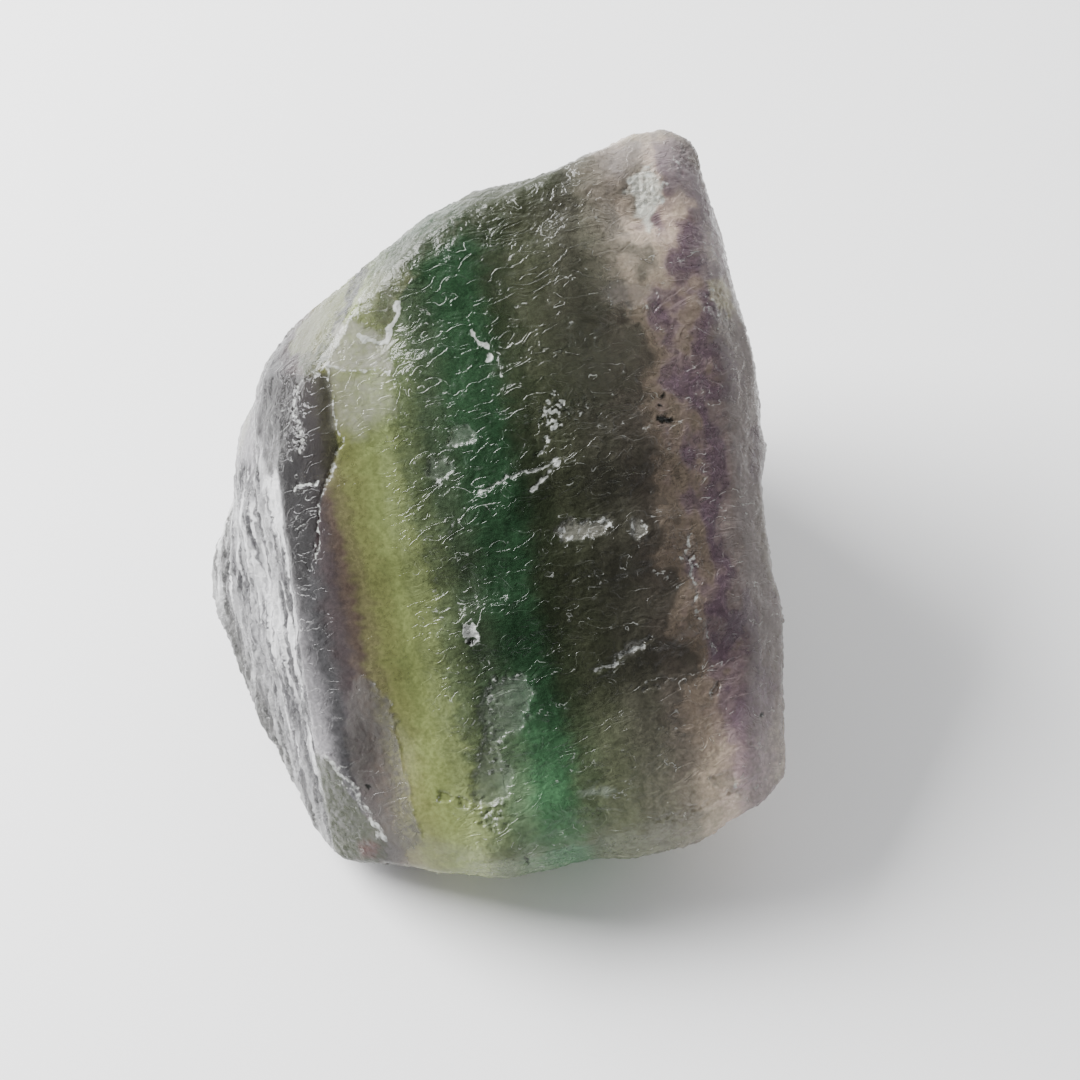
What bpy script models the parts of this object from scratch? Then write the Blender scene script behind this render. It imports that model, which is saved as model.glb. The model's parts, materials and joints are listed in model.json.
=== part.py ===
"""A rough chunk of banded fluorite, broken on all sides, resting on a flat cleavage face.

The chunk is laid out in the frame of its broad banded face: across the bands, up along them,
and out of the face. That frame is then tipped so that the broad face looks up and forward, the
way the chunk lies on a table. Sizes are in metres, +Z is up, and the origin is the middle of
the chunk's footprint box, on the surface that it rests on.
"""

import math

import bmesh
import bpy
from mathutils import Matrix, Vector, noise

MM = 0.001

# How the chunk lies: the broad face's normal rises this far above the horizon, and the middle
# of that face is this high above the table.
BROAD_FACE_RISE = math.radians(58)
BROAD_FACE_HEIGHT = 31.6 * MM

# Corners of the broken faces that surround the broad one, in millimetres in its own frame:
# across the bands, up along them, and out of the face.
BROAD_FACE = [
    (-22.1, 17.7, -3.5),
    (-14.2, 28.1, -2.5),
    (-6.1, 33.1, -2.0),
    (5.6, 37.6, -2.0),
    (13.0, 39.5, -2.5),
    (15.4, 32.9, -2.0),
    (18.4, 17.1, -1.5),
    (19.9, 4.0, -1.5),
    (21.0, -10.1, -2.0),
    (20.7, -24.2, -2.0),
    (16.2, -27.8, -2.0),
    (6.1, -30.1, -1.5),
    (-4.0, -32.4, -2.0),
    (-11.6, -29.9, -2.5),
    (-17.0, -14.1, -2.2),
    (-20.8, -2.0, -3.0),
    (-21.8, 9.1, -3.2),
    (2.0, 24.0, 0.3),
    (6.0, 2.0, 0.8),
    (-4.0, -6.0, 0.6),
    (8.0, -16.0, 0.3),
]
DARK_SHOULDER = [
    (-28.7, 17.0, -10.5),
    (-26.9, 7.3, -6.6),
    (-25.4, -2.1, -6.0),
    (-24.5, -10.4, -6.0),
    (-23.4, -17.2, -6.4),
    (-21.4, -22.5, -6.0),
    (-15.7, -30.7, -5.4),
]
RIM_RIGHT = [
    (13.1, 42.4, -5.0),
    (15.6, 40.8, -5.0),
    (16.7, 36.4, -5.0),
    (19.0, 28.2, -5.0),
    (21.7, 19.5, -5.5),
    (23.2, 7.7, -6.0),
    (25.1, -10.5, -6.0),
    (24.6, -24.2, -6.0),
    (23.1, -26.3, -6.0),
    (21.0, -27.5, -5.5),
]
RIM_FOOT = [
    (16.4, -30.6, -5.5),
    (11.3, -31.6, -5.5),
    (2.0, -33.4, -5.5),
    (-3.6, -34.8, -5.5),
    (-10.3, -34.5, -6.0),
    (-17.7, -33.5, -9.0),
    (-22.3, -32.9, -13.0),
]
RIM_LEFT = [
    (-26.1, -27.7, -18.0),
    (-30.4, -21.0, -22.0),
    (-33.6, -14.0, -25.0),
    (-36.4, -6.8, -27.0),
    (-36.5, -3.4, -27.0),
    (-35.0, 4.5, -25.0),
    (-32.8, 9.7, -22.0),
    (-29.7, 17.8, -16.0),
]
RIM_TOP = [
    (-27.5, 21.7, -14.0),
    (-23.3, 25.1, -12.0),
    (-18.2, 28.1, -9.5),
    (-11.4, 33.5, -7.0),
    (-6.7, 36.0, -6.5),
    (5.1, 40.1, -6.0),
    (8.7, 42.0, -5.5),
]

# Corners of the hidden back, in millimetres: across, away from the viewer, above the table.
BACK = [
    (-33.0, 22.0, 14.0),
    (-24.0, 36.0, 20.0),
    (-4.0, 44.0, 22.0),
    (12.0, 44.0, 24.0),
    (22.0, 32.0, 22.0),
    (24.0, 15.0, 15.0),
    (24.5, -8.0, 8.0),
]
# Corners of the cleavage face that the chunk rests on: across, away from the viewer.
BASE = [
    (-24.0, -12.0),
    (-31.0, 4.0),
    (-30.0, 16.0),
    (-14.0, 34.0),
    (10.0, 36.0),
    (20.0, 20.0),
    (21.0, -2.0),
    (10.0, -17.0),
    (-12.0, -19.0),
]

# Scoops that flakes left when they broke off: the place of the ball that cuts each one, in the
# broad face's frame, and its radius, in millimetres. Each ball has this many faces around and
# from pole to pole.
BALL_AROUND = 48
BALL_UP = 24
SCOOPS = {
    "top_edge": ((-5.1, 57.8, -6.0), 21.0),
    "star_recess": ((-17.0, 22.3, 0.3), 4.5),
    "pale_hollow": ((10.5, 34.0, 3.2), 6.0),
    "smooth_hollow": ((-20.7, -24.1, 8.7), 14.0),
    "shallow_hollow": ((-3.5, -18.0, 11.1), 12.0),
    "left_shoulder": ((-44.5, 16.1, -25.0), 14.0),
    "left_notch": ((-41.5, -14.5, -20.0), 8.0),
    "right_edge": ((44.0, 3.5, -10.0), 21.9),
    "foot_flake": ((-26.0, -46.0, 6.0), 17.5),
    "right_wall": ((40.0, -2.0, -32.0), 18.0),
    "back_wall_high": ((-8.0, 50.0, -34.0), 17.0),
    "back_wall_low": ((14.0, 46.0, -52.0), 20.0),
    "left_back": ((-44.0, 22.0, -38.0), 17.0),
    "front_undercut": ((6.0, -44.0, -24.0), 15.0),
}

# The net of faces that the relief is worked into, and the faces left once it is thinned out.
NET_SPACING = 0.55 * MM
KEPT_FACES = 8400

# Fluorite splits along four families of planes. The first leans this far from the broad face,
# up the bands, and the other three stand around it, one of them facing left.
CLEAVAGE_LEAN = math.radians(7)
BETWEEN_CLEAVAGES = math.acos(1 / 3)
CLEAVAGE_TURNS = [math.radians(turn) for turn in (176, 296, 56)]
# A face takes ledges of a family that it faces within these limits, as cosines.
LEAST_FACING = 0.72
FULL_FACING = 0.9
LEDGE_HEIGHT = 0.6 * MM
RISER_SHARE = 0.42
# Ledges are long along their run and short across it. On the broad face they rise to the right,
# and on each other family they run along the line where it meets the broad face's family.
LEDGE_WANDER = 0.95 * MM
LEDGE_LENGTH = 13 * MM
LEDGE_WIDTH = 4.5 * MM
LEDGE_OCTAVES = 3
LEDGE_RISE = math.radians(14)
# Each family's noise starts this much further along, so that no two families wander alike.
FAMILY_SHIFT = 13.0
# Each octave of noise is half as high and half as wide as the one before.
NOISE_FADE = 1.0
NOISE_SHRINK = 2.0
# Softer relief between the ledges.
LUMP_SPACING = 8 * MM
LUMP_HEIGHT = 0.45 * MM
LUMP_OCTAVES = 2
LUMP_START = Vector((7.0, 3.0, 5.0))
# The front is hackly up to a line that leans with the bands, glassy and even from there to the
# crest of the dark shoulder, and striated beyond it. Each line is given by where it crosses the
# middle of the broad face and how far it goes across for each step up.
HACKLY_FROM = -11.5 * MM
GLASSY_UP_TO = -15.5 * MM
BAND_LEAN = -0.2
CREST = -25.6 * MM
CREST_LEAN = -0.13
CREST_WIDTH = 1.2 * MM
GLASSY_SHARE = 0.25
LEAST_OUT = 0.35
FULL_OUT = 0.6
# The relief fades out towards the face that the chunk rests on, which is then cut flat.
SMOOTH_BELOW = 1.2 * MM
ROUGH_ABOVE = 4.0 * MM
BASE_TRIM = 0.25 * MM

FLUORITE_GREEN = (0.16, 0.23, 0.15, 1.0)
FLUORITE_ROUGHNESS = 0.3


def broad_face_frame():
    """The matrix from the broad face's frame to the table's: across, up the face, out of it."""
    rise, run = math.sin(BROAD_FACE_RISE), math.cos(BROAD_FACE_RISE)
    across, up, out = Vector((1, 0, 0)), Vector((0, rise, run)), Vector((0, -run, rise))
    turn = Matrix((across, up, out)).transposed()
    return Matrix.Translation((0, 0, BROAD_FACE_HEIGHT)) @ turn.to_4x4()


def block_corners():
    """Every corner of the unworn block, in the table's frame."""
    frame = broad_face_frame()
    faced = BROAD_FACE + DARK_SHOULDER + RIM_RIGHT + RIM_FOOT + RIM_LEFT + RIM_TOP
    corners = [frame @ (Vector(corner) * MM) for corner in faced]
    corners += [Vector(corner) * MM for corner in BACK]
    corners += [Vector((across, away, 0)) * MM for across, away in BASE]
    return corners


def make_block(collection):
    """The block that the broken faces enclose, before any flake came off it."""
    bm = bmesh.new()
    for corner in block_corners():
        bm.verts.new(corner)
    hull = bmesh.ops.convex_hull(bm, input=bm.verts)
    inside = [g for g in hull["geom_interior"] if isinstance(g, bmesh.types.BMVert)]
    bmesh.ops.delete(bm, geom=inside, context="VERTS")
    bmesh.ops.recalc_face_normals(bm, faces=bm.faces)
    return add_object("fluorite_block", bm, collection)


def make_scoop(name, place, radius, collection):
    """The ball that cuts one scoop."""
    bm = bmesh.new()
    bmesh.ops.create_uvsphere(bm, u_segments=BALL_AROUND, v_segments=BALL_UP, radius=radius * MM)
    scoop = add_object("scoop_" + name, bm, collection)
    scoop.location = broad_face_frame() @ (Vector(place) * MM)
    scoop.hide_render = True
    scoop.display_type = "WIRE"
    return scoop


def add_object(name, bm, collection):
    """A mesh object made from bm, in a collection."""
    mesh = bpy.data.meshes.new(name)
    bm.to_mesh(mesh)
    bm.free()
    made = bpy.data.objects.new(name, mesh)
    collection.objects.link(made)
    return made


def cut_scoops(block, collection):
    """Takes each scoop out of the block."""
    for name, (place, radius) in SCOOPS.items():
        cut = block.modifiers.new("cut_" + name, "BOOLEAN")
        cut.operation = "DIFFERENCE"
        cut.object = make_scoop(name, place, radius, collection)


def cover_with_net(block):
    """Divides the block's faces into a fine, even net."""
    net = block.modifiers.new("net", "REMESH")
    net.mode = "VOXEL"
    net.voxel_size = NET_SPACING


def thin_out(chunk):
    """Joins the faces of the net that lie flat, and keeps those along ridges and ledges."""
    faces = sum(len(polygon.vertices) - 2 for polygon in chunk.data.polygons)
    thin = chunk.modifiers.new("thin_out", "DECIMATE")
    thin.ratio = KEPT_FACES / faces


def smooth_step(value, low, high):
    """0 below low, 1 above high, and an even curve between them."""
    share = min(max((value - low) / (high - low), 0.0), 1.0)
    return share * share * (3 - 2 * share)


def cleavage_families():
    """The four families of planes that the crystal splits along: across, run and side of each."""
    lean = Matrix.Rotation(-CLEAVAGE_LEAN, 3, "X")
    broad = lean @ Vector((0, 0, 1))
    families = [(broad, Vector((math.cos(LEDGE_RISE), math.sin(LEDGE_RISE), 0)))]
    for turn in CLEAVAGE_TURNS:
        side = math.sin(BETWEEN_CLEAVAGES)
        across = lean @ Vector((side * math.cos(turn), side * math.sin(turn), 1 / 3))
        families.append((across, across.cross(broad).normalized()))
    turn_to_table = broad_face_frame().to_3x3()
    placed = [(turn_to_table @ across, turn_to_table @ run) for across, run in families]
    return [(across, run, across.cross(run)) for across, run in placed]


def ledge_move(point, normal, families):
    """The move that brings a point onto the ledge nearest to it, in each family it faces."""
    move = Vector()
    for family, (across, run, side) in enumerate(families):
        share = smooth_step(abs(normal.dot(across)), LEAST_FACING, FULL_FACING)
        if share == 0.0:
            continue
        place = point.dot(across)
        along, over = point.dot(run) / LEDGE_LENGTH, point.dot(side) / LEDGE_WIDTH
        spot = Vector((along + FAMILY_SHIFT * family, over, place / LEDGE_LENGTH))
        wander = noise.fractal(spot, NOISE_FADE, NOISE_SHRINK, LEDGE_OCTAVES)
        risen = (place + wander * LEDGE_WANDER) / LEDGE_HEIGHT
        level = math.floor(risen)
        riser = smooth_step(risen - level, 0.5 - RISER_SHARE / 2, 0.5 + RISER_SHARE / 2)
        move += across * (((level + riser) * LEDGE_HEIGHT - place) * share)
    return move


def lump_height(point):
    """How far the softer relief stands out at a point."""
    spot = point / LUMP_SPACING + LUMP_START
    lumps = noise.fractal(spot, NOISE_FADE, NOISE_SHRINK, LUMP_OCTAVES)
    return lumps * LUMP_HEIGHT


def roughness_share(point, normal, to_face, out_of_face):
    """How much of the relief a point takes: little on the glassy part and by the resting face."""
    above = smooth_step(point.z, SMOOTH_BELOW, ROUGH_ABOVE)
    spot = to_face @ point
    hackly = smooth_step(spot.x - BAND_LEAN * spot.y, GLASSY_UP_TO, HACKLY_FROM)
    crest = spot.x - CREST_LEAN * spot.y - CREST
    striated = smooth_step(-crest, 0, CREST_WIDTH)
    looks_out = smooth_step(normal.dot(out_of_face), LEAST_OUT, FULL_OUT)
    glassy = looks_out * (1 - hackly) * (1 - striated) * (1 - GLASSY_SHARE)
    return above * (1 - glassy)


def roughen(bm):
    """Breaks the net's faces up into ledges and lumps."""
    bm.normal_update()
    families = cleavage_families()
    face = broad_face_frame()
    to_face, out_of_face = face.inverted(), face.to_3x3() @ Vector((0, 0, 1))
    moves = []
    for vertex in bm.verts:
        place, normal = vertex.co.copy(), vertex.normal.copy()
        share = roughness_share(place, normal, to_face, out_of_face)
        move = ledge_move(place, normal, families) + normal * lump_height(place)
        moves.append((vertex, move * share))
    for vertex, move in moves:
        vertex.co += move


def cut_base_flat(bm):
    """Cuts the foot off flat and closes it with the one face that the chunk rests on."""
    lowest = min(vertex.co.z for vertex in bm.verts)
    cut = bmesh.ops.bisect_plane(
        bm,
        geom=[*bm.verts, *bm.edges, *bm.faces],
        plane_co=(0, 0, lowest + BASE_TRIM),
        plane_no=(0, 0, 1),
        clear_inner=True,
    )
    border = [g for g in cut["geom_cut"] if isinstance(g, bmesh.types.BMEdge)]
    bmesh.ops.edgenet_fill(bm, edges=border)


def stand_on_origin(bm):
    """Shifts the chunk so that the origin is under the middle of its footprint box."""
    low = Vector(min(vertex.co[axis] for vertex in bm.verts) for axis in range(3))
    high = Vector(max(vertex.co[axis] for vertex in bm.verts) for axis in range(3))
    middle = (low + high) / 2
    bmesh.ops.translate(bm, verts=bm.verts, vec=(-middle.x, -middle.y, -low.z))


def fluorite_material():
    """The chunk's mean colour and gloss."""
    material = bpy.data.materials.new("fluorite")
    material.use_nodes = True
    shader = material.node_tree.nodes["Principled BSDF"]
    shader.inputs["Base Color"].default_value = FLUORITE_GREEN
    shader.inputs["Roughness"].default_value = FLUORITE_ROUGHNESS
    shader.inputs["Metallic"].default_value = 0.0
    return material


def make_chunk(block, collection):
    """The finished chunk: the netted block with its relief, thinned out and cut flat below."""
    bm = bmesh.new()
    bm.from_mesh(evaluated_mesh(block))
    roughen(bm)
    rough = add_object("rough_net", bm, collection)
    thin_out(rough)
    bm = bmesh.new()
    bm.from_mesh(evaluated_mesh(rough))
    bpy.data.objects.remove(rough)
    cut_base_flat(bm)
    stand_on_origin(bm)
    chunk = add_object("fluorite_chunk", bm, collection)
    chunk.data.materials.append(fluorite_material())
    return chunk


def evaluated_mesh(made):
    """A copy of an object's mesh with its modifiers applied."""
    graph = bpy.context.evaluated_depsgraph_get()
    return bpy.data.meshes.new_from_object(made.evaluated_get(graph))


def main():
    """Builds the chunk in a scene of its own."""
    for old in list(bpy.data.objects):
        bpy.data.objects.remove(old)
    chunks = bpy.data.collections.new("rough_fluorite")
    cutters = bpy.data.collections.new("cutters")
    for collection in (chunks, cutters):
        bpy.context.scene.collection.children.link(collection)
    block = make_block(cutters)
    cut_scoops(block, cutters)
    cover_with_net(block)
    make_chunk(block, chunks)
    block.hide_render = True
    block.display_type = "WIRE"


main()
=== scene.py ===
"""A rough chunk of banded fluorite on a pale table top, under soft window light.

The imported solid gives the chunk's form. Its surface is refined here with the hackles, chips,
cracks and bruises of broken crystal, and dressed with bands that run through the whole chunk.
"""

import json
import logging
import math
from dataclasses import dataclass, field
from enum import Enum

import bmesh
import bpy
import numpy as np
from mathutils import Matrix, Vector, noise
from mathutils.bvhtree import BVHTree

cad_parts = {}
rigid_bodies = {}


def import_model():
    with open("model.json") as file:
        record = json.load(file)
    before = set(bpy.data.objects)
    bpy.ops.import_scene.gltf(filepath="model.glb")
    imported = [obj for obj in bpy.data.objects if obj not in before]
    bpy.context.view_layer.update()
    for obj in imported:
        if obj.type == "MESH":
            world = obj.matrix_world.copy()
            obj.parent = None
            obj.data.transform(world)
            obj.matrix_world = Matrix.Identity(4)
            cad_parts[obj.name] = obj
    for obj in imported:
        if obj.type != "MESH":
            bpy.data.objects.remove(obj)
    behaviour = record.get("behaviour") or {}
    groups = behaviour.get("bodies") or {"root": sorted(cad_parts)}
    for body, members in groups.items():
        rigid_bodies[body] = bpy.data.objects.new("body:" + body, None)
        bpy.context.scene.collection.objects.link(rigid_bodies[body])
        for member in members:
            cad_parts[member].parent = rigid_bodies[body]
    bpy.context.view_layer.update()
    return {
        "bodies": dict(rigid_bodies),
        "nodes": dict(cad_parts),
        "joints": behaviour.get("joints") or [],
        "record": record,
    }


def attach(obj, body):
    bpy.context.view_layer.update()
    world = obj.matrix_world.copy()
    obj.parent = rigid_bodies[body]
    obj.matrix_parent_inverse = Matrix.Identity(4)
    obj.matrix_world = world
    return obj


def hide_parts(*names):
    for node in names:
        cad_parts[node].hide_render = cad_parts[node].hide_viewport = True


MM = 0.001
LOG = logging.getLogger("fluorite")
NOISE_SHIFT = (1.0, 1.7, -0.6)
HACKLE_TURN = math.radians(14)
STREAK_ACROSS = (-0.45, -0.05, -0.89)


def smooth_step(values: np.ndarray, low: float, high: float) -> np.ndarray:
    """0 below low, 1 above high, and an even curve between them.

    Args:
        values: The numbers to place on the curve.
        low: Where the curve leaves 0.
        high: Where the curve reaches 1.

    Returns:
        The curve's height at each value.
    """
    share = np.clip((values - low) / (high - low), 0.0, 1.0)
    return share * share * (3.0 - 2.0 * share)


def fractal(points: np.ndarray, octaves: int, start: float) -> np.ndarray:
    """Fractal noise at each point.

    Args:
        points: One row of three numbers for each point, in units of the largest lumps.
        octaves: How many sizes of lump are added up.
        start: Shifts the noise, so that no two uses of it are alike.

    Returns:
        One number for each point, mostly between -1 and 1.
    """
    rows = (points + start * np.array(NOISE_SHIFT)).tolist()
    return np.array([noise.fractal(row, 1.0, 2.0, octaves) for row in rows])


def scarps(rise: np.ndarray, step: float, riser_share: float) -> np.ndarray:
    """Turns a slowly rising surface into even treads with short steep scarps between them.

    Args:
        rise: How far the surface has risen at each point.
        step: The height of one scarp.
        riser_share: The share of each tread that its scarp takes up.

    Returns:
        How far to move each point.
    """
    level = np.floor(rise / step)
    over = rise / step - level
    riser = smooth_step(over, 1.0 - riser_share, 1.0)
    return (riser - over) * step


@dataclass(frozen=True)
class FaceFrame:
    """The broad face's own frame: across the bands, up along them, and out of the face."""

    rise: float = math.radians(58)
    origin: tuple[float, float, float] = (5.848 * MM, -9.042 * MM, 31.354 * MM)

    def matrix(self) -> Matrix:
        """The matrix from the broad face's frame to the chunk's.

        Returns:
            The matrix, in metres.
        """
        up = Vector((0, math.sin(self.rise), math.cos(self.rise)))
        out = Vector((0, -math.cos(self.rise), math.sin(self.rise)))
        turn = Matrix((Vector((1, 0, 0)), up, out)).transposed()
        return Matrix.Translation(self.origin) @ turn.to_4x4()

    def axes(self) -> np.ndarray:
        """The three axes as rows: across, up, out."""
        return np.array(self.matrix().to_3x3().transposed())

    def places(self, points: np.ndarray) -> np.ndarray:
        """Where points of the chunk are in the broad face's frame, in millimetres."""
        return (points - np.array(self.origin)) @ self.axes().T / MM


class MarkKind(Enum):
    """What a named mark on the broken surface is."""

    CHIP = "chip"
    BRUISE = "bruise"
    PIT = "pit"
    CRACK = "crack"
    EDGE = "edge"
    SPECK = "speck"
    VEIL = "veil"
    FLAKE = "flake"


class Tint(Enum):
    """The tint of a veil or a flake."""

    OLIVE = (0.150, 0.160, 0.086)
    # Painted shade: the dark of the gap between the corner facets and of the recess's heart.
    PAINTED_SHADE = (0.030, 0.030, 0.026)
    PALE = (0.40, 0.39, 0.34)
    PINK = (0.42, 0.37, 0.36)
    LAVENDER = (0.122, 0.113, 0.104)
    MOSS = (0.050, 0.058, 0.030)
    RUST = (0.090, 0.034, 0.028)
    SEA = (0.31, 0.36, 0.29)
    WHITE = (0.95, 0.95, 0.84)
    STRAW = (0.50, 0.45, 0.29)


@dataclass(frozen=True)
class Mark:
    """One named mark, in millimetres across and up the broad face.

    A chip, bruise, pit or speck has its middle first and its half sizes second. A crack or an edge
    has the points that it runs through. A veil or a flake has its corners.
    """

    kind: MarkKind
    points: tuple[tuple[float, float], ...]
    turn: float = 0.0
    width: float = 0.2
    white: float = 0.8
    depth: float = 0.25
    ragged: float = 0.45
    tint: Tint = Tint.PALE
    soft: float = 0.2

    def gap(self, places: np.ndarray) -> np.ndarray:
        """How far each place is from the mark: 0 in its middle and 1 on its border.

        Args:
            places: The places across and up the broad face.

        Returns:
            One distance for each place. For a veil or a flake it is in millimetres from the
            border, and negative inside.
        """
        if self.kind in (MarkKind.VEIL, MarkKind.FLAKE):
            return self.from_outline(places)
        if self.kind in (MarkKind.CRACK, MarkKind.EDGE):
            runs = zip(self.points, self.points[1:])
            return np.min([self.from_run(places, *run) for run in runs], axis=0) / self.width
        turn = math.radians(self.turn)
        across, up = (places - np.array(self.points[0])).T
        along = across * math.cos(turn) + up * math.sin(turn)
        over = up * math.cos(turn) - across * math.sin(turn)
        return np.hypot(along / self.points[1][0], over / self.points[1][1])

    def from_run(
        self, places: np.ndarray, first: tuple[float, float], last: tuple[float, float]
    ) -> np.ndarray:
        """How far each place is from a straight run between two points.

        Args:
            places: The places across and up the broad face.
            first: Where the run starts.
            last: Where it ends.

        Returns:
            One distance for each place, in millimetres.
        """
        start, run = np.array(first), np.array(last) - np.array(first)
        share = np.clip((places - start) @ run / (run @ run), 0.0, 1.0)
        offset = places - start - share[:, None] * run
        return np.hypot(offset[:, 0], offset[:, 1])

    def from_outline(self, places: np.ndarray) -> np.ndarray:
        """How far each place is outside the outline that the mark's corners make.

        Args:
            places: The places across and up the broad face.

        Returns:
            One distance for each place, in millimetres, negative inside.
        """
        across, up = places.T
        inside = np.zeros(len(places), dtype=bool)
        nearest = np.full(len(places), np.inf)
        for first, last in zip(self.points, self.points[1:] + self.points[:1]):
            nearest = np.minimum(nearest, self.from_run(places, first, last))
            spans = (first[1] > up) != (last[1] > up)
            lean = (last[0] - first[0]) / (last[1] - first[1]) if last[1] != first[1] else 0.0
            inside ^= spans & (across < first[0] + (up - first[1]) * lean)
        return np.where(inside, -nearest, nearest)


def area(kind: MarkKind, across: float, up: float, wide: float, tall: float, **more: float) -> Mark:
    """A mark that covers a round area, from its middle and its half sizes."""
    return Mark(kind, ((across, up), (wide, tall)), **more)


def line(kind: MarkKind, *points: tuple[float, float], **more: float) -> Mark:
    """A mark that runs through the points, or has its corners there."""
    return Mark(kind, points, **more)


CHIP, BRUISE, PIT, CRACK = MarkKind.CHIP, MarkKind.BRUISE, MarkKind.PIT, MarkKind.CRACK
EDGE, SPECK, VEIL, FLAKE = MarkKind.EDGE, MarkKind.SPECK, MarkKind.VEIL, MarkKind.FLAKE

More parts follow.
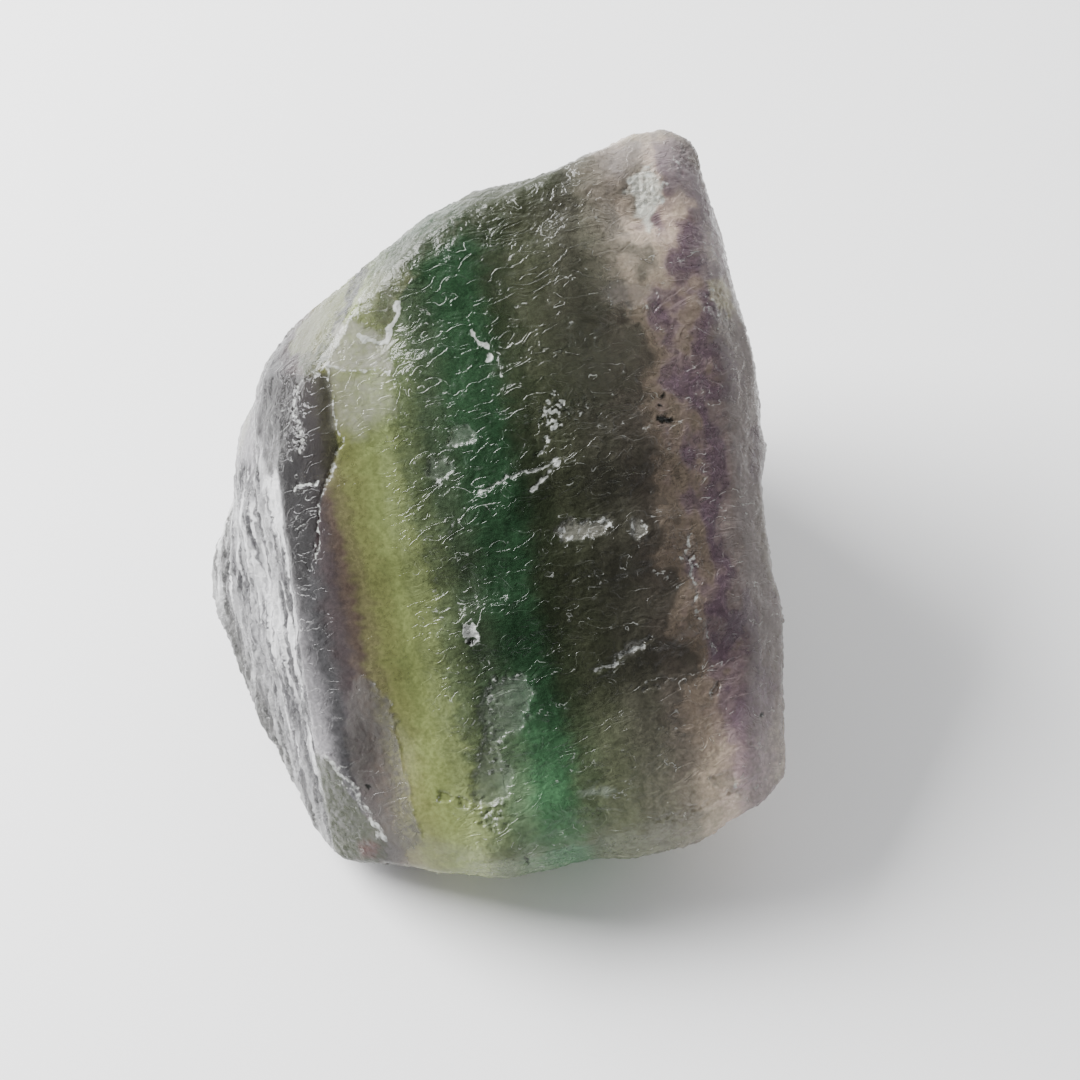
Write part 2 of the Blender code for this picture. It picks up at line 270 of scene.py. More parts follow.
MARKS = {
    "apex_pale": line(
        VEIL, (6.0, 39.6), (10.2, 41.8), (15.0, 41.0), (16.2, 37.0), (15.2, 33.2), (12.8, 34.6),
        (10.0, 38.6), (7.6, 36.0), white=0.45, tint=Tint.PINK, soft=1.4,
    ),
    "apex_white": line(
        VEIL, (8.7, 36.7), (10.7, 37.4), (12.4, 35.7), (12.2, 34.2), (11.2, 32.4), (10.8, 30.8),
        (10.0, 32.6), (9.0, 34.7), white=1.0, tint=Tint.WHITE, soft=0.3,
    ),
    "apex_bruise": area(BRUISE, 10.6, 35.6, 2.0, 1.8, white=0.6, ragged=0.8),
    "apex_corner": area(BRUISE, 15.0, 38.6, 1.6, 1.9, white=0.4, ragged=0.8),
    "edge_straw": line(
        VEIL, (16.9, 26.1), (18.5, 26.5), (19.3, 24.5), (19.7, 22.2), (18.8, 22.8), (17.5, 24.0),
        white=0.6, tint=Tint.STRAW, soft=0.4,
    ),
    "shell": line(
        FLAKE, (6.1, 25.0), (8.1, 25.9), (11.1, 25.5), (11.9, 24.6), (10.1, 23.8), (7.3, 23.6),
        white=0.4, tint=Tint.PINK, soft=0.5,
    ),
    "shell_low": area(BRUISE, 10.6, 23.2, 1.6, 0.6, turn=18.0, white=0.4, ragged=0.9),
    "right_chips": area(BRUISE, 18.0, 23.4, 1.1, 2.6, turn=14.0, white=0.45, ragged=0.9),
    "middle_bruise": area(BRUISE, 1.2, 12.6, 1.1, 2.2, turn=-12.0, white=0.75, ragged=0.9),
    "middle_bruise_right": area(BRUISE, 3.4, 13.2, 1.9, 0.9, turn=10.0, white=0.4, ragged=1.0),
    "middle_wisp": line(CRACK, (-6.0, 4.9), (-3.6, 6.0), (-1.2, 6.9), (0.8, 7.3), (2.4, 8.5), white=0.55),
    "middle_tail": line(CRACK, (-0.9, 4.9), (0.6, 6.6), (2.2, 7.9), white=0.6),
    "middle_drop": line(CRACK, (1.0, 10.6), (0.2, 9.0), (-0.6, 7.8), white=0.5),
    "white_flake": line(
        FLAKE, (1.5, 0.7), (2.2, 1.6), (5.0, 1.8), (7.2, 2.0), (7.4, 1.4), (5.6, 0.4), (3.0, -0.1),
        (1.8, 0.0), white=0.8, tint=Tint.PALE,
    ),
    "white_flake_end": area(BRUISE, 2.2, 0.8, 0.6, 0.5, white=1.0, ragged=0.3),
    "white_chip": line(
        FLAKE, (9.4, 1.8), (10.8, 1.6), (10.6, 0.8), (10.0, 0.0), (9.4, 0.6), white=0.95
    ),
    "hollow": line(
        FLAKE, (-5.7, -15.2), (-4.0, -13.9), (-1.6, -13.5), (-0.8, -15.4), (-1.6, -18.4),
        (-3.8, -19.7), (-4.4, -21.0), (-2.8, -23.7), (-3.6, -26.3), (-6.1, -26.9), (-6.7, -24.7),
        (-5.5, -20.2), (-6.1, -17.4), white=0.5, tint=Tint.SEA, soft=0.4,
    ),
    "hollow_glints": area(BRUISE, -4.8, -15.4, 1.2, 1.8, turn=-20.0, white=0.4, ragged=0.9),
    "hollow_foot": area(BRUISE, -4.8, -20.6, 1.2, 2.6, white=0.45, ragged=1.0),
    "chain": line(CRACK, (5.6, -12.8), (7.4, -12.2), (8.4, -11.2), (10.4, -10.4), white=0.6, width=0.35),
    "chain_end": line(
        FLAKE, (8.2, -11.4), (8.6, -10.2), (9.8, -10.0), (10.8, -9.6), (10.2, -10.9), white=0.5,
        tint=Tint.PALE,
    ),
    "thin_line": line(CRACK, (10.4, -15.2), (12.4, -14.2), (14.2, -13.4), white=0.4),
    "lens": line(
        VEIL, (3.2, -25.1), (4.6, -24.7), (6.8, -24.7), (8.4, -25.2), (6.6, -25.6), (4.4, -25.5),
        white=0.55, tint=Tint.SEA,
    ),
    "right_flake": line(
        FLAKE, (17.0, -24.0), (18.8, -23.4), (20.2, -24.4), (20.0, -25.4), (18.0, -25.2), white=0.6
    ),
    "right_dot": area(CHIP, 17.6, -15.1, 0.5, 0.8, turn=-30.0, white=0.55),
    "left_flake": line(
        FLAKE, (-9.3, 10.9), (-7.1, 11.3), (-6.3, 10.3), (-7.9, 9.5), (-9.1, 9.7), white=0.4,
        tint=Tint.SEA,
    ),
    "left_flake_low": line(
        FLAKE, (-10.9, 8.3), (-9.5, 8.5), (-8.9, 7.3), (-9.9, 5.7), (-11.1, 6.3), white=0.35,
        tint=Tint.SEA,
    ),
    "left_flake_dot": area(BRUISE, -10.4, 5.7, 0.4, 0.35, white=1.0, ragged=0.3),
    "foot_flake": area(CHIP, -9.6, -26.0, 0.9, 0.6, white=0.55, ragged=0.5),
    "foot_flake_right": area(CHIP, -7.7, -26.4, 0.8, 0.5, turn=-20.0, white=0.5, ragged=0.5),
    "foot_bruise": area(BRUISE, -4.8, -27.4, 2.0, 1.8, white=0.45, ragged=1.0),
    "foot_right": area(BRUISE, 13.8, -27.6, 2.2, 0.7, turn=18.0, white=0.35, ragged=1.0),
    "round_pit": area(PIT, -7.0, -9.7, 0.75, 0.95, white=0.9, depth=0.5, ragged=0.5),
    "squiggle": line(CRACK, (-7.0, 21.0), (-6.2, 20.0), (-5.4, 19.3), (-5.1, 17.9), white=0.85),
    "upper_scratch": line(CRACK, (-4.3, 18.2), (-3.9, 17.2), (-3.6, 16.2), white=0.6),
    "right_crack": line(
        CRACK, (14.9, -1.9), (15.3, -4.2), (15.6, -6.4), (16.6, -8.9), (17.6, -11.2), white=0.55
    ),
    "right_crack_head": area(BRUISE, 14.9, -2.0, 1.1, 0.6, turn=-12.0, white=0.6, ragged=0.8),
    "right_crack_up": line(CRACK, (14.8, -1.9), (14.7, -0.6), (14.9, 0.6), white=0.5),
    "corner_facet": line(
        VEIL, (-18.5, 27.8), (-22.7, 25.3), (-25.6, 22.2), (-26.2, 19.6), (-24.9, 19.0),
        (-22.7, 19.4), (-20.6, 21.4), (-18.7, 25.1), white=0.8, tint=Tint.OLIVE,
    ),
    # Painted shade in the gap between the corner facets.
    "corner_gap": line(
        VEIL, (-21.8, 20.4), (-20.0, 24.4), (-19.2, 27.8), (-17.6, 28.8), (-18.0, 26.2),
        (-20.4, 21.2), white=0.95, tint=Tint.PAINTED_SHADE,
    ),
    "corner_low": line(
        VEIL, (-24.9, 19.0), (-22.7, 19.4), (-20.9, 21.0), (-20.0, 20.6), (-21.8, 17.8),
        (-24.0, 16.8), white=0.85, tint=Tint.MOSS,
    ),
    "recess_floor": line(
        VEIL, (-17.0, 26.9), (-14.1, 27.9), (-12.4, 26.7), (-14.1, 24.5), (-15.5, 20.2),
        (-19.6, 21.2), (-18.4, 23.7), white=0.75, tint=Tint.OLIVE,
    ),
    # Painted shade in the heart of the recess.
    "recess_heart": line(
        VEIL, (-15.9, 26.1), (-14.3, 25.5), (-15.5, 21.8), (-17.3, 22.2), white=0.5,
        tint=Tint.PAINTED_SHADE, soft=0.4,
    ),
    "recess_foot": line(
        VEIL, (-20.8, 21.9), (-18.8, 22.0), (-15.2, 20.6), (-15.0, 17.1), (-21.6, 17.1), white=0.7,
        tint=Tint.PALE, soft=0.4,
    ),
    "star_foot": line(
        VEIL, (-21.0, 16.9), (-15.5, 16.9), (-15.0, 13.3), (-18.0, 10.4), (-20.6, 11.6), white=0.5,
        tint=Tint.PALE, soft=1.2,
    ),
    "top_strip": line(
        VEIL, (-16.9, 27.4), (-12.4, 31.9), (-7.0, 35.3), (2.0, 38.4), (2.0, 35.6), (-6.0, 31.8),
        (-11.6, 28.4), (-14.5, 25.8), white=0.7, tint=Tint.MOSS, soft=1.2,
    ),
    "star_up": line(EDGE, (-21.8, 17.6), (-19.4, 21.8), (-16.6, 27.0), white=0.5),
    "star_left": line(EDGE, (-21.8, 17.6), (-24.0, 16.5), white=0.45),
    "star_down": line(EDGE, (-21.8, 17.6), (-20.9, 14.6), (-20.5, 11.0), white=0.55),
    "star_right": line(EDGE, (-21.8, 17.6), (-19.8, 17.4), (-17.4, 16.9), (-15.2, 16.7), white=0.6),
    "recess_ledge": line(EDGE, (-18.4, 20.6), (-17.0, 20.2), (-15.6, 20.0), white=0.75, width=0.3),
    "recess_edge": line(EDGE, (-15.4, 20.4), (-14.7, 22.2), (-14.4, 24.0), white=0.9, width=0.35),
    "shoulder_crack": line(
        CRACK, (-20.5, 11.0), (-20.2, 9.5), (-21.5, 6.0), (-22.3, 2.2), (-22.8, -2.0), white=0.55
    ),
    "shoulder_vein": line(
        CRACK, (-22.6, 17.0), (-24.6, 15.8), (-25.3, 12.8), (-24.1, 11.1), (-24.4, 9.1), white=0.5
    ),
    "shoulder_spark": line(CRACK, (-25.1, 5.1), (-23.6, 5.7), (-22.4, 5.9), white=0.7),
    "lens_patch": line(
        VEIL, (-18.0, -13.2), (-15.1, -16.2), (-14.1, -21.1), (-13.0, -25.8), (-11.9, -30.1),
        (-15.9, -34.6), (-17.3, -28.8), (-19.4, -22.7), (-19.6, -16.5), white=0.7,
        tint=Tint.LAVENDER, soft=0.35,
    ),
    "lens_edge": line(
        EDGE, (-17.5, -13.6), (-15.1, -16.2), (-14.1, -21.1), (-13.0, -25.8), (-11.9, -30.1), white=0.35
    ),
    "foot_facet": line(
        VEIL, (-24.3, -21.0), (-21.6, -22.6), (-15.6, -31.0), (-16.2, -33.4), (-20.8, -34.1),
        (-22.4, -31.8), white=0.95, tint=Tint.MOSS,
    ),
    "foot_rust": line(
        VEIL, (-18.5, -31.0), (-16.2, -31.0), (-16.4, -32.4), (-18.7, -32.9), white=0.9,
        tint=Tint.RUST, soft=0.5,
    ),
    "foot_ridge": line(EDGE, (-21.6, -22.4), (-18.8, -25.8), (-15.8, -30.6), white=0.52, width=0.5),
    "speck_high": area(SPECK, 12.1, 14.4, 0.3, 0.28, ragged=0.3),
    "speck_low": area(SPECK, 11.9, 13.6, 0.28, 0.2, ragged=0.3),
    "speck_wide": area(SPECK, 12.0, 11.9, 0.9, 0.36, turn=-6.0, ragged=0.8),
    "speck_edge": area(SPECK, 22.6, -17.8, 0.25, 0.3, ragged=0.2),
    "speck_foot": area(SPECK, -1.4, -32.2, 0.15, 0.7, turn=25.0, ragged=0.2),
    "speck_left": area(SPECK, -17.6, -25.2, 0.4, 0.2, turn=-40.0, ragged=0.4),
}


@dataclass(frozen=True)
class Borders:
    """Where the kinds of surface meet, in millimetres across (u), up (v) and out of the face (w)."""

    lean: float = 0.13
    hackle_lean: float = 0.2
    hackle_start: float = -15.5
    hackle_full: float = -11.5
    shoulder: float = -22.0
    shoulder_share: float = 0.75
    crest: float = -25.9
    striation_top: float = 9.5
    striation_fade: float = 3.0
    crack_up: tuple[float, ...] = (-10.0, -2.0, 2.2, 6.0, 9.5, 11.0, 14.6)
    crack_across: tuple[float, ...] = (-24.4, -23.0, -22.3, -21.5, -20.2, -20.5, -20.9)
    smoke_start: float = -12.0
    smoke_full: float = -3.0
    smoke_top: float = 17.5
    smoke_deepest: float = -15.0
    smoke_deep_full: float = -9.0
    rim_foot: float = 20.4
    rim_top: float = 20.9
    foot_start: float = 21.0
    foot_full: float = 26.0
    wave: float = 3.0
    wave_size: float = 4.0

    def waved(self, places: np.ndarray) -> np.ndarray:
        """How far up each place is, in waves, so that a border along it isn't straight."""
        return places[:, 1] + self.wave * fractal(places / self.wave_size, 3, start=91.0)

    def hackly(self, u: np.ndarray, v: np.ndarray) -> np.ndarray:
        """Finds the hackly crystal right of the yellow band and, less so, on the left shoulder.

        Args:
            u: How far across each point is.
            v: How far up it is.

        Returns:
            1 where it is hackly and 0 where it broke smooth.
        """
        right = smooth_step(u + self.hackle_lean * v, self.hackle_start, self.hackle_full)
        left = smooth_step(self.shoulder - u - self.lean * v, -0.6, 1.2)
        return np.maximum(right, self.shoulder_share * left)

    def striated(
        self, u: np.ndarray, v: np.ndarray, waved: np.ndarray, across: np.ndarray, out: np.ndarray
    ) -> np.ndarray:
        """Finds the striated side, left of the crest.

        Args:
            u: How far across each point is.
            v: How far up it is.
            waved: The same in waves.
            across: How far its normal looks across.
            out: How far its normal looks out of the face.

        Returns:
            1 on the striated side and 0 elsewhere.
        """
        crest = u + self.lean * v - self.crest
        striated = smooth_step(-crest, -0.2, 0.5) * smooth_step(-across, 0.2, 0.5)
        striated = striated * smooth_step(out, -0.1, 0.15)
        return striated * smooth_step(self.striation_top - waved, 0.0, self.striation_fade)

    def smoky(self, u: np.ndarray, v: np.ndarray, w: np.ndarray, waved: np.ndarray) -> np.ndarray:
        """Finds the smoky shoulder, left of the long crack.

        Args:
            u: How far across each point is.
            v: How far up it is.
            w: How far out of the face it is.
            waved: How far up it is, in waves.

        Returns:
            1 on the smoky shoulder and 0 elsewhere.
        """
        crack = np.interp(v, self.crack_up, self.crack_across)
        smoky = smooth_step(crack - u, -0.1, 0.3)
        smoky = smoky * smooth_step(waved, self.smoke_start, self.smoke_full)
        smoky = smoky * smooth_step(self.smoke_top - v, 0.0, 1.0)
        return smoky * smooth_step(w, self.smoke_deepest, self.smoke_deep_full)

    def rim(self, u: np.ndarray, v: np.ndarray) -> np.ndarray:
        """1 on the bevel along the right edge."""
        return smooth_step(u - np.minimum(self.rim_foot - self.lean * v, self.rim_top), -0.9, 0.7)

    def foot(self, v: np.ndarray, out: np.ndarray) -> np.ndarray:
        """1 on the foot's bevel."""
        return smooth_step(-v, self.foot_start, self.foot_full) * smooth_step(out, -0.2, 0.1)


@dataclass(frozen=True)
class Relief:
    """The sizes and heights of each kind of fine relief, in millimetres."""

    bend: float = 2.2
    bend_size: float = 5.0
    ripple_sizes: tuple[float, float, float] = (2.1, 1.2, 2.0)
    hackle_climb: float = 0.05
    hackle_ripple: float = 0.34
    hackle_step: float = 0.14
    hackle_riser: float = 0.32
    hackle_share: float = 0.9
    patch_size: float = 3.5
    lump: float = 0.1
    lump_size: float = 2.0
    stripe: float = 1.1
    stripe_sizes: tuple[float, float, float] = (2.2, 14.0, 6.0)
    stripe_step: float = 0.5
    stripe_riser: float = 0.3
    cleavage: float = 0.6
    cleavage_size: float = 1.8
    cleavage_slope: float = 0.3
    cleavage_step: float = 0.3
    cleavage_riser: float = 0.35
    swell: float = 0.3
    glassy_loss: float = 0.86

    def hackles(self, places: np.ndarray) -> np.ndarray:
        """The small ragged steps of the broad face, in patches, and calmer at the top.

        Args:
            places: The points in the broad face's frame.

        Returns:
            One height for each point.
        """
        u, v, w = places.T
        cos, sin = math.cos(HACKLE_TURN), math.sin(HACKLE_TURN)
        along = u * cos + v * sin
        over = v * cos - u * sin + fractal(places / self.bend_size, 2, start=71.0) * self.bend
        wide, tall, deep = self.ripple_sizes
        ripple = fractal(np.stack([along / wide, over / tall, w / deep], axis=1), 4, start=3.0)
        rise = over * self.hackle_climb + ripple * self.hackle_ripple
        patchy = smooth_step(fractal(places / self.patch_size, 3, start=83.0), -0.35, 0.4)
        calm = 1.0 - 0.5 * smooth_step(v - 0.4 * u, 10.0, 26.0)
        steps = scarps(rise, self.hackle_step, self.hackle_riser)
        return self.hackle_share * steps * calm * (0.4 + 0.6 * patchy)

    def striation(self, places: np.ndarray) -> np.ndarray:
        """The long stripes of the striated side.

        Args:
            places: The points in the broad face's frame.

        Returns:
            One height for each point.
        """
        u, v, _ = places.T
        thin, long, wide = self.stripe_sizes
        lean = places @ np.array(STREAK_ACROSS)
        stripe = fractal(np.stack([lean / thin, v / long, u / wide], axis=1), 4, start=23.0)
        return scarps(stripe * self.stripe, self.stripe_step, self.stripe_riser)

    def broken(self, places: np.ndarray, normals: np.ndarray) -> np.ndarray:
        """The cleavage steps of the sides and the back.

        Args:
            places: The points in the broad face's frame.
            normals: Their normals.

        Returns:
            One height for each point.
        """
        rough = fractal(places / self.cleavage_size, 4, start=31.0)
        rise = rough * self.cleavage + normals[:, 2] * self.cleavage_slope
        return scarps(rise, self.cleavage_step, self.cleavage_riser)

    def lumps(self, places: np.ndarray) -> np.ndarray:
        """The soft lumps all over."""
        return fractal(places / self.lump_size, 3, start=11.0) * self.lump


@dataclass
class BrokenSurface:
    """The broken surface of the chunk: its fine net of points and all that is worked into it."""

    face: FaceFrame
    borders: Borders = Borders()
    fine: Relief = Relief()
    weld: float = 0.002 * MM
    net: float = 0.7 * MM
    fine_above: float = 0.12
    evening_rounds: int = 18
    evening_share: float = 0.6
    flake_reach: float = 0.45
    mark_reach: float = 0.25
    netted_to: float = -8.0
    marked_to: float = -16.0
    base_reach: float = 0.4 * MM
    waver: float = 0.45
    waver_size: float = 1.4
    warp_size: float = 0.9
    grit_size: float = 0.35
    thin_depth: float = 7.0 * MM
    bare_colour: tuple[float, float, float] = (0.14, 0.14, 0.12)
    masks: dict[str, np.ndarray] = field(default_factory=dict)
    veil_colour: np.ndarray = field(default_factory=lambda: np.ones((0, 4)))

    def netted(self, node: bpy.types.Object) -> bpy.types.Mesh:
        """The node's form on an even net of faces, twice as fine where the photograph looks.

        Args:
            node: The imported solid.

        Returns:
            A new mesh.
        """
        bm = bmesh.new()
        bm.from_mesh(node.data)
        bmesh.ops.remove_doubles(bm, verts=bm.verts, dist=self.weld)
        coarse = bpy.data.meshes.new("coarse")
        bm.to_mesh(coarse)
        bm.free()
        holder = bpy.data.objects.new("coarse", coarse)
        bpy.context.scene.collection.objects.link(holder)
        remesh = holder.modifiers.new("net", "REMESH")
        remesh.mode = "VOXEL"
        remesh.voxel_size = self.net
        graph = bpy.context.evaluated_depsgraph_get()
        mesh = bpy.data.meshes.new_from_object(holder.evaluated_get(graph))
        bpy.data.objects.remove(holder)
        self.even_out(mesh)
        bm = bmesh.new()
        bm.from_mesh(mesh)
        bm.normal_update()
        out = Vector(self.face.axes()[2])
        seen = [one for one in bm.faces if one.normal.dot(out) > self.fine_above]
        edges = {edge for one in seen for edge in one.edges}
        bmesh.ops.subdivide_edges(bm, edges=list(edges), cuts=1, use_grid_fill=True)
        bm.verts.index_update()
        marked = self.near_marks(np.array([vertex.co for vertex in bm.verts]))
        edges = [edge for edge in bm.edges if all(marked[end.index] for end in edge.verts)]
        bmesh.ops.subdivide_edges(bm, edges=edges, cuts=1, use_grid_fill=True)
        bmesh.ops.triangulate(bm, faces=[one for one in bm.faces if len(one.verts) > 4])
        bm.to_mesh(mesh)
        bm.free()
        return mesh

    def even_out(self, mesh: bpy.types.Mesh) -> None:
        """Evens out the broad face's coarse ledges, before finer ones are worked in.

        Args:
            mesh: The net to change.
        """
        flat = np.empty(len(mesh.vertices) * 3)
        mesh.vertices.foreach_get("co", flat)
        points = flat.reshape(-1, 3)
        out = self.face.axes()[2]
        share = self.evening_share * smooth_step(self.normals(mesh) @ out, 0.55, 0.8)
        ends = np.empty(len(mesh.edges) * 2, dtype=np.int64)
        mesh.edges.foreach_get("vertices", ends)
        first, second = ends.reshape(-1, 2).T
        count = np.bincount(ends, minlength=len(points))[:, None]
        for _ in range(self.evening_rounds):
            total = np.zeros_like(points)
            np.add.at(total, first, points[second])
            np.add.at(total, second, points[first])
            rise = (total / count - points) @ out
            points = points + (share * rise)[:, None] * out
        mesh.vertices.foreach_set("co", points.ravel())
        mesh.update()

    def near_marks(self, points: np.ndarray) -> np.ndarray:
        """Finds the points that are close to a mark with fine outlines.

        Args:
            points: The points of the net.

        Returns:
            Yes or no for each point.
        """
        places = self.face.places(points)
        near = np.zeros(len(points), dtype=bool)
        for mark in MARKS.values():
            if mark.kind is FLAKE:
                near |= np.abs(mark.gap(places[:, :2])) < self.flake_reach
            elif mark.kind is not VEIL:
                size = mark.width if mark.kind in (CRACK, EDGE) else min(mark.points[1])
                near |= mark.gap(places[:, :2]) < 1.0 + self.mark_reach / size
        return near & (places[:, 2] > self.netted_to)

    def work(self, mesh: bpy.types.Mesh, low: np.ndarray, high: np.ndarray) -> None:
        """Works the relief and the marks into a netted mesh, and keeps their masks on it.

        Args:
            mesh: The mesh to change.
            low: The lowest corner of the solid's box.
            high: Its highest corner.
        """
        count = len(mesh.vertices)
        flat = np.empty(count * 3)
        mesh.vertices.foreach_get("co", flat)
        points = flat.reshape(-1, 3)
        normals = self.normals(mesh)
        self.measure(points, normals)
        height = self.relief(points, normals) + self.fine.swell * (1.0 - self.masks["resting"])
        moved = points + normals * (height * MM)[:, None]
        moved = moved + normals * (self.mark_moves(points) * MM)[:, None]
        base = (points[:, 2] < self.base_reach) & (normals[:, 2] < -0.8)
        moved[base, 2] = 0.0
        moved = np.clip(moved, low, high)
        mesh.vertices.foreach_set("co", moved.ravel())
        mesh.update()
        self.measure_ridges(mesh, moved)
        self.measure_thickness(mesh, moved)
        for name, mask in self.masks.items():
            layer = mesh.attributes.new(name, "FLOAT", "POINT")
            layer.data.foreach_set("value", np.clip(mask, 0.0, 1.0).astype(np.float32))
        layer = mesh.attributes.new("veil_colour", "FLOAT_COLOR", "POINT")
        layer.data.foreach_set("color", self.veil_colour.astype(np.float32).ravel())

    def normals(self, mesh: bpy.types.Mesh) -> np.ndarray:
        """The mesh's vertex normals.

        Args:
            mesh: The mesh.

        Returns:
            One row for each vertex.
        """
        flat = np.empty(len(mesh.vertices) * 3)
        mesh.vertices.foreach_get("normal", flat)
        return flat.reshape(-1, 3)

    def measure(self, points: np.ndarray, normals: np.ndarray) -> None:
        """Finds which kind of surface each point lies on, and keeps it in the masks.

        Args:
            points: The points of the netted mesh.
            normals: Its normals.
        """
        places = self.face.places(points)
        across, _, out = (normals @ axis for axis in self.face.axes())
        u, v, w = places.T
        waved = self.borders.waved(places)
        looks_out = smooth_step(out, 0.3, 0.6)
        striated = self.borders.striated(u, v, waved, across, out)
        smoky = self.borders.smoky(u, v, w, waved)
        foot = self.borders.foot(v, out)
        self.masks["broad"] = looks_out * (1.0 - striated)
        self.masks["glassy"] = looks_out * (1.0 - self.borders.hackly(u, v)) * (1.0 - striated)
        self.masks["striated"] = striated
        self.masks["resting"] = smooth_step(-normals[:, 2], 0.9, 0.97) * (points[:, 2] < 1.0 * MM)
        self.masks["facing"] = smooth_step(out, 0.0, 0.2) * (1.0 - striated)
        self.masks["smoky"] = smoky * (1.0 - striated)
        self.masks["side"] = (1.0 - np.maximum(looks_out, striated)) * (1.0 - foot) * (1.0 - smoky)
        self.masks["rim"] = self.borders.rim(u, v)

    def relief(self, points: np.ndarray, normals: np.ndarray) -> np.ndarray:
        """How far the fine relief stands out at each point, in millimetres.

        Args:
            points: The points of the netted mesh.
            normals: Its normals.

        Returns:
            One height for each point.
        """
        places = self.face.places(points)
        masks = self.masks
        height = self.fine.hackles(places) * masks["broad"]
        height += self.fine.striation(places) * masks["striated"]
        sides = 1.0 - np.maximum(masks["broad"], masks["striated"])
        height += self.fine.broken(places, normals) * sides + self.fine.lumps(places)
        height *= 1.0 - self.fine.glassy_loss * masks["glassy"]
        return height * (1.0 - masks["resting"])

    def mark_moves(self, points: np.ndarray) -> np.ndarray:
        """Works out every mark: how far it moves each point, in millimetres, and its masks.

        Args:
            points: The points of the netted mesh.

        Returns:
            One move for each point.
        """
        places = self.face.places(points)
        reached = np.flatnonzero((self.masks["facing"] > 0.0) & (places[:, 2] > self.marked_to))
        near = places[reached]
        warp = fractal(near / self.warp_size, 3, start=41.0)
        grit = fractal(near / self.grit_size, 2, start=47.0)
        shifts = [fractal(near / self.waver_size, 4, start) for start in (53.0, 59.0)]
        wavered = near[:, :2] + np.stack(shifts, axis=1) * self.waver
        move = np.zeros(len(points))
        white, dark, vein = (np.zeros(len(near)) for _ in range(3))
        veil, veil_colour = np.zeros(len(near)), np.zeros((len(near), 3))
        for mark in MARKS.values():
            gap = mark.gap(wavered) + warp * mark.ragged
            inside = 1.0 - smooth_step(gap, 0.8, 1.05)
            rim = np.exp(-(((gap - 0.92) / 0.16) ** 2))
            if mark.kind is SPECK:
                dark = np.maximum(dark, inside)
                continue
            if mark.kind in (VEIL, FLAKE):
                inside = 1.0 - smooth_step(gap, -mark.soft, mark.soft)
                share = mark.white * inside * (0.6 if mark.kind is FLAKE else 1.0)
                veil_colour += share[:, None] * (np.array(mark.tint.value) - veil_colour)
                veil = veil + share * (1.0 - veil)
            if mark.kind is VEIL:
                continue
            move[reached] += self.mark_depth(mark, gap, inside, rim, grit)
            if mark.kind in (CRACK, EDGE):
                vein = np.maximum(vein, mark.white * np.clip(1.5 - gap, 0.0, 1.0))
                continue
            if mark.kind is FLAKE:
                rim = np.exp(-((gap / 0.2) ** 2)) * np.clip(0.7 + 1.2 * warp, 0.0, 1.0)
                white = np.maximum(white, mark.white * rim)
                continue
            white = np.maximum(white, self.mark_white(mark, inside, rim, grit))
            # Painted shade: the pit's lower half is darkened, and loses its white there.
            if mark.kind is PIT:
                low = smooth_step(mark.points[0][1] - near[:, 1], -0.1, 0.4 * mark.points[1][1])
                dark = np.maximum(dark, inside * low * 0.85)
                white = white * (1.0 - inside * low)
        for name, found in (("bruised", white), ("dark", dark), ("veil", veil), ("vein", vein)):
            self.masks[name] = np.zeros(len(points))
            self.masks[name][reached] = found
        bare = (veil < 0.02)[:, None]
        veil_colour = np.where(bare, self.bare_colour, veil_colour / np.maximum(veil, 0.02)[:, None])
        self.veil_colour = np.full((len(points), 4), 1.0)
        self.veil_colour[reached, :3] = veil_colour
        return move * self.masks["facing"]

    def mark_depth(
        self, mark: Mark, gap: np.ndarray, inside: np.ndarray, rim: np.ndarray, grit: np.ndarray
    ) -> np.ndarray:
        """How far one mark moves each point near it, in millimetres.

        Args:
            mark: The mark.
            gap: How far each point is from it.
            inside: 1 inside the mark and 0 outside.
            rim: 1 on the mark's border and 0 away from it.
            grit: Fine noise at each point.

        Returns:
            One move for each point.
        """
        if mark.kind is FLAKE:
            return -mark.depth * inside
        if mark.kind is CHIP:
            return -mark.depth * inside * (0.6 + 0.4 * np.clip(gap, 0.0, 1.0)) + 0.05 * rim
        if mark.kind is PIT:
            return -mark.depth * np.clip(1.0 - gap * gap, 0.0, 1.0)
        if mark.kind is EDGE:
            return 0.3 * mark.depth * np.clip(1.0 - gap / 1.6, 0.0, 1.0)
        if mark.kind is CRACK:
            return -0.5 * mark.depth * np.clip(1.0 - gap, 0.0, 1.0)
        return (grit * 0.16 - 0.05) * inside

    def mark_white(
        self, mark: Mark, inside: np.ndarray, rim: np.ndarray, grit: np.ndarray
    ) -> np.ndarray:
        """How much a chip, a bruise or a pit whitens each point near it.

        Args:
            mark: The mark.
            inside: 1 inside the mark and 0 outside.
            rim: 1 on the mark's border and 0 away from it.
            grit: Fine noise at each point.

        Returns:
            One share for each point.
        """
        if mark.kind is CHIP:
            return mark.white * np.maximum(inside * (0.35 + 0.4 * grit), rim * (0.7 + 0.6 * grit))
        if mark.kind is PIT:
            return mark.white * np.maximum(inside, rim)
        return mark.white * inside * np.clip(0.72 + 0.7 * grit, 0.0, 1.0)

    def measure_ridges(self, mesh: bpy.types.Mesh, points: np.ndarray) -> None:
        """Finds how sharply the surface bends outwards at each point.

        Args:
            mesh: The finished mesh.
            points: Its points.
        """
        ends = np.empty(len(mesh.edges) * 2, dtype=np.int64)
        mesh.edges.foreach_get("vertices", ends)
        first, second = ends.reshape(-1, 2).T
        length = np.linalg.norm(points[first] - points[second], axis=1)
        total, spread = np.zeros_like(points), np.zeros(len(points))
        for one, other in ((first, second), (second, first)):
            np.add.at(total, one, points[other] - points[one])
            np.add.at(spread, one, length)
        normals = self.normals(mesh)
        bend = -np.einsum("ij,ij->i", total, normals) / np.maximum(spread, 1e-9)
        # The material paints highlights along these ridges.
        self.masks["ridge"] = smooth_step(bend, 0.08, 0.42)

